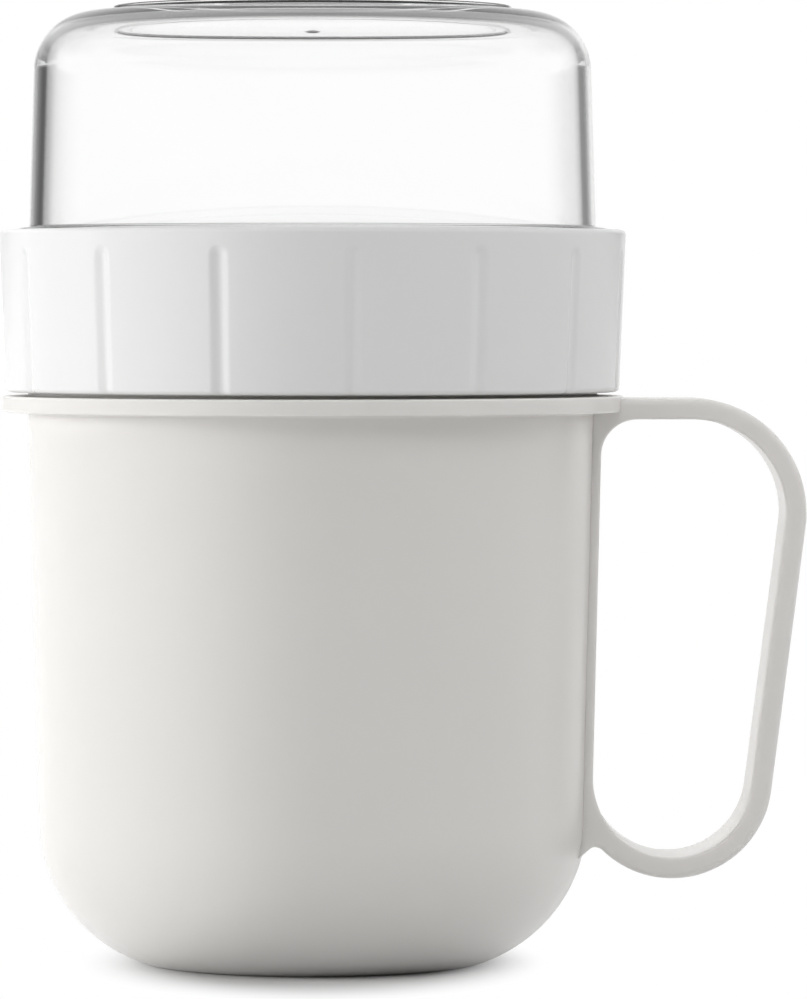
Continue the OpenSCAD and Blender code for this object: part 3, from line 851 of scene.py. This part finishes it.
place = add(tree, "ShaderNodeTexCoord")
way = add(tree, "ShaderNodeSeparateXYZ", links={0: (place, "Generated")})
off_panel = add(tree, "ShaderNodeMath", {"operation": "ARCCOSINE"}, {0: (way, "Y")})
on_left = surround(tree, (off_panel, "Value"), [
    (0, 1), (11.6, 1), (12.6, 0.88), (13.4, 0.7), (14.4, 0.57), (16.2, 0.41), (18.7, 0.39),
    (22, 0.32), (25, 0.15), (28, 0.115), (34, 0.11), (44, 0.6), (54, 1),
])
on_right = surround(tree, (off_panel, "Value"), [
    (0, 1), (14, 1), (18, 0.93), (20.5, 0.78), (22, 0.55), (24, 0.27), (32, 0.27), (44, 0.7), (54, 1),
])
over_it = surround(tree, (off_panel, "Value"), [
    (0, 1), (15, 1), (17.5, 0.85), (20, 0.5), (24, 0.4), (30, 0.4), (36, 0.35),
    (44, 0.27), (51, 0.21), (58, 0.25), (66, 0.6), (75, 1),
])
print("walls:", [len(ramp.color_ramp.elements) for ramp in (on_left, on_right, over_it)], "stops")

# %% World
# Left turns into right within about 6 degrees of the middle, and the walls beside the panel turn into the
# one above it between 3 and 14 degrees up. Both are given as x and z of a direction of length 1.
across = add(tree, "ShaderNodeMapRange", {"From Min": -0.1, "From Max": 0.1}, {"Value": (way, "X")})
beside = add(
    tree, "ShaderNodeMix", {"data_type": "RGBA"},
    {"Factor": (across, "Result"), "A": (on_left, "Color"), "B": (on_right, "Color")},
)
rays, seen = seen_rays(tree)
above = add(
    tree, "ShaderNodeMix", {"data_type": "RGBA", "B": (1, 1, 1, 1)},
    {"Factor": (rays, "Is Reflection Ray"), "A": (over_it, "Color")},
)
upward = add(tree, "ShaderNodeMapRange", {"From Min": 0.06, "From Max": 0.25}, {"Value": (way, "Z")})
studio = add(
    tree, "ShaderNodeMix", {"data_type": "RGBA"},
    {"Factor": (upward, "Result"), "A": (beside, "Result"), "B": (above, "Result")},
)
eye_white = add(
    tree, "ShaderNodeMix", {"data_type": "RGBA", "B": (1, 1, 1, 1)},
    {"Factor": (rays, "Is Camera Ray"), "A": (studio, "Result")},
)
white = add(tree, "ShaderNodeBackground", {"Strength": 1.0}, {"Color": (eye_white, "Result")})
both = add(tree, "ShaderNodeMixShader", links={0: (seen, "Value"), 2: (white, "Background")})
add(tree, "ShaderNodeOutputWorld", links={"Surface": (both, "Shader")})
print("world:", world.name)

# %% [markdown]
# ## Light
# The photograph has its strongest soft light low on the left, a weaker one higher on the right, and the
# darkest stretch just right of the middle. Area lamps are the plain way to get that: their size makes the
# shading soft. Softboxes overhead and in front fill in. The lit background and a softbox behind on the
# left brighten the inner faces of the handle and, through the waxy plastic, its front.

# %% Lamps
CUP_MIDDLE = Vector((0, 0, 0.08))


def lamp(name, place, size, power):
    """Square area lamp with its place and side in metres and its power in watts.

    It is turned so that it looks at the middle of the cup. Neither the eye nor a reflection shows it.
    """
    data = bpy.data.lights.new(name, "AREA")
    data.shape, data.size, data.energy = "SQUARE", size, power
    light = bpy.data.objects.new(name, data)
    light.location = place
    light.rotation_euler = (CUP_MIDDLE - Vector(place)).to_track_quat("-Z", "Y").to_euler()
    light.visible_camera = light.visible_glossy = light.visible_transmission = False
    bpy.context.scene.collection.objects.link(light)


lamp("left_softbox", (-1.15, 0.0, 0.21), 0.4, 7.1)
lamp("left_front_softbox", (-0.85, -0.8, 0.35), 0.8, 2.8)
lamp("right_softbox", (1.1, 0.0, 0.55), 0.8, 5.2)
lamp("overhead_softbox", (0.0, -0.05, 1.25), 1.0, 4.5)
lamp("front_softbox", (0.0, -1.0, 1.0), 0.8, 4.7)
lamp("background_panel", (0.0, 1.2, 0.4), 1.6, 7.6)
lamp("back_left_softbox", (-0.7, 1.0, 0.35), 0.5, 6.0)
print("lamps:", [light.name for light in bpy.data.lights])

# %% [markdown]
# ## Camera
# The picture was taken with a long lens from about a metre away, a little below the collar's top, so the
# rims of the round pieces show as thin ellipses. The focal length follows from the size of the cup in the
# picture.

# %% Camera
FOCAL_PX, WIDTH_PX, SENSOR_MM = 6760.0, 807.0, 36.0
# Place in metres, and degrees by which the camera looks down and to the right.
CAMERA_AT, CAMERA_DOWN, CAMERA_RIGHT = (0.0, -1.08, 0.105), 1.657, 0.769
camera_data = bpy.data.cameras.new("studio_camera")
camera_data.sensor_fit, camera_data.sensor_width = "HORIZONTAL", SENSOR_MM
camera_data.lens = FOCAL_PX / WIDTH_PX * SENSOR_MM
camera_data.clip_end = 50.0
camera = bpy.data.objects.new("studio_camera", camera_data)
camera.location = CAMERA_AT
camera.rotation_euler = (math.radians(90 - CAMERA_DOWN), 0.0, math.radians(-CAMERA_RIGHT))
bpy.context.scene.collection.objects.link(camera)
bpy.context.scene.camera = camera
bpy.context.scene.view_settings.view_transform = "Standard"
print("lens:", round(camera_data.lens, 1), "mm")
